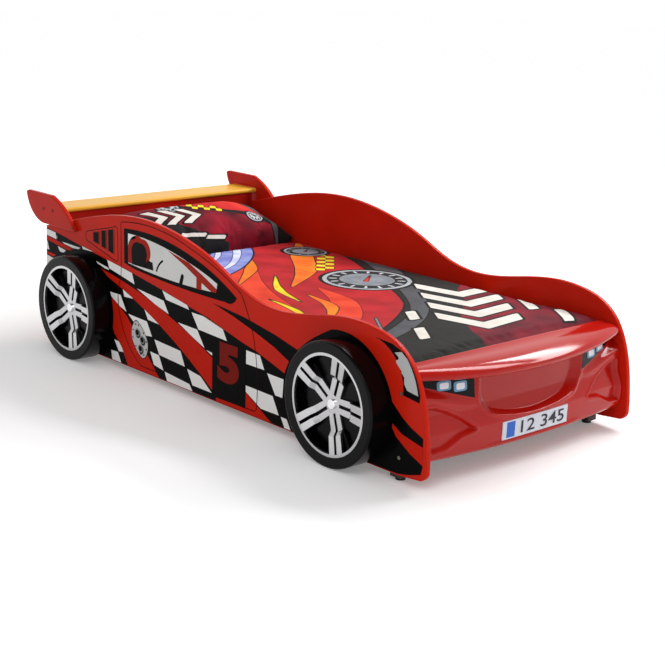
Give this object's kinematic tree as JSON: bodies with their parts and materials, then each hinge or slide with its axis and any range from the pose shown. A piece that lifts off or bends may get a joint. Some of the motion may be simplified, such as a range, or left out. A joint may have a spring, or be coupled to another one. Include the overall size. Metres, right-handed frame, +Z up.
{
  "type": "children's car bed",
  "caption": "Racing-car bed for a child, with shaped side panels, spoked wheels, a front bumper moulding, tail fins with a shelf, slats, mattress, duvet and pillow.",
  "frame": {"origin": "floor level under the middle of the bounding box", "axes": "+X towards the bonnet, +Y towards the left of the car, +Z up"},
  "size_m": [2.262, 1.134, 0.603],
  "materials": {
    "panel_print": "gloss red lacquer with a printed racing livery",
    "red_lacquer": "gloss red lacquer on fibreboard",
    "moulding_red": "gloss red moulded front",
    "amber_lacquer": "satin amber lacquer on fibreboard",
    "tyre_black": "satin black moulding",
    "rim_silver": "silver-painted moulding",
    "backing_dark": "matt dark backing disc",
    "cap_chrome": "chromed cap",
    "slat_wood": "bare pine",
    "rail_wood": "bare pine",
    "glide_black": "matt glide",
    "zinc_screw": "zinc-plated screw",
    "lamp_black": "gloss black lamp panel",
    "lens_print": "pale blue lamp ring with a white centre",
    "plate_print": "white plate with a plain blue band and digits",
    "mattress_ticking": "white ticking",
    "duvet_print": null,
    "pillow_print": null
  },
  "bodies": {
    "bed": {"centre_cap_front_left": "cap_chrome", "centre_cap_front_right": "cap_chrome", "centre_cap_rear_left": "cap_chrome", "centre_cap_rear_right": "cap_chrome", "centre_leg_front": "rail_wood", "centre_leg_rear": "rail_wood", "centre_rail": "rail_wood", "corner_post_front_left": "rail_wood", "corner_post_front_right": "rail_wood", "corner_post_rear_left": "rail_wood", "corner_post_rear_right": "rail_wood", "fin_screws": "zinc_screw", "floor_glides": "glide_black", "footboard": "red_lacquer", "front_moulding": "moulding_red", "headboard": "red_lacquer", "lamp_lenses": "lens_print", "lamp_panel_left": "lamp_black", "lamp_panel_right": "lamp_black", "moulding_screws": "zinc_screw", "number_plate": "plate_print", "panel_screws": "zinc_screw", "rail_screws": "zinc_screw", "rim_front_left": "rim_silver", "rim_front_right": "rim_silver", "rim_rear_left": "rim_silver", "rim_rear_right": "rim_silver", "side_panel_left": "panel_print", "side_panel_right": "panel_print", "side_rail_left": "rail_wood", "side_rail_right": "rail_wood", "slat_01": "slat_wood", "slat_02": "slat_wood", "slat_03": "slat_wood", "slat_04": "slat_wood", "slat_05": "slat_wood", "slat_06": "slat_wood", "slat_07": "slat_wood", "slat_08": "slat_wood", "slat_09": "slat_wood", "slat_10": "slat_wood", "slat_11": "slat_wood", "slat_12": "slat_wood", "slat_13": "slat_wood", "spoiler_shelf": "amber_lacquer", "tail_fin_left": "red_lacquer", "tail_fin_right": "red_lacquer", "tyre_front_left": "tyre_black", "tyre_front_right": "tyre_black", "tyre_rear_left": "tyre_black", "tyre_rear_right": "tyre_black", "wheel_backing_front_left": "backing_dark", "wheel_backing_front_right": "backing_dark", "wheel_backing_rear_left": "backing_dark", "wheel_backing_rear_right": "backing_dark", "wheel_bolts": "zinc_screw"},
    "mattress": {"mattress": "mattress_ticking"},
    "duvet": {"duvet": "duvet_print"},
    "pillow": {"pillow": "pillow_print"}
  },
  "joints": [
    {"name": "mattress_lift", "type": "slide", "parent": "bed", "child": "mattress", "axis": [0, 0, 1], "range_m": [0, 0.45]},
    {"name": "duvet_lift", "type": "slide", "parent": "mattress", "child": "duvet", "axis": [0, 0, 1], "range_m": [0, 0.3]},
    {"name": "pillow_lift", "type": "slide", "parent": "mattress", "child": "pillow", "axis": [0, 0, 1], "range_m": [0, 0.3]}
  ]
}
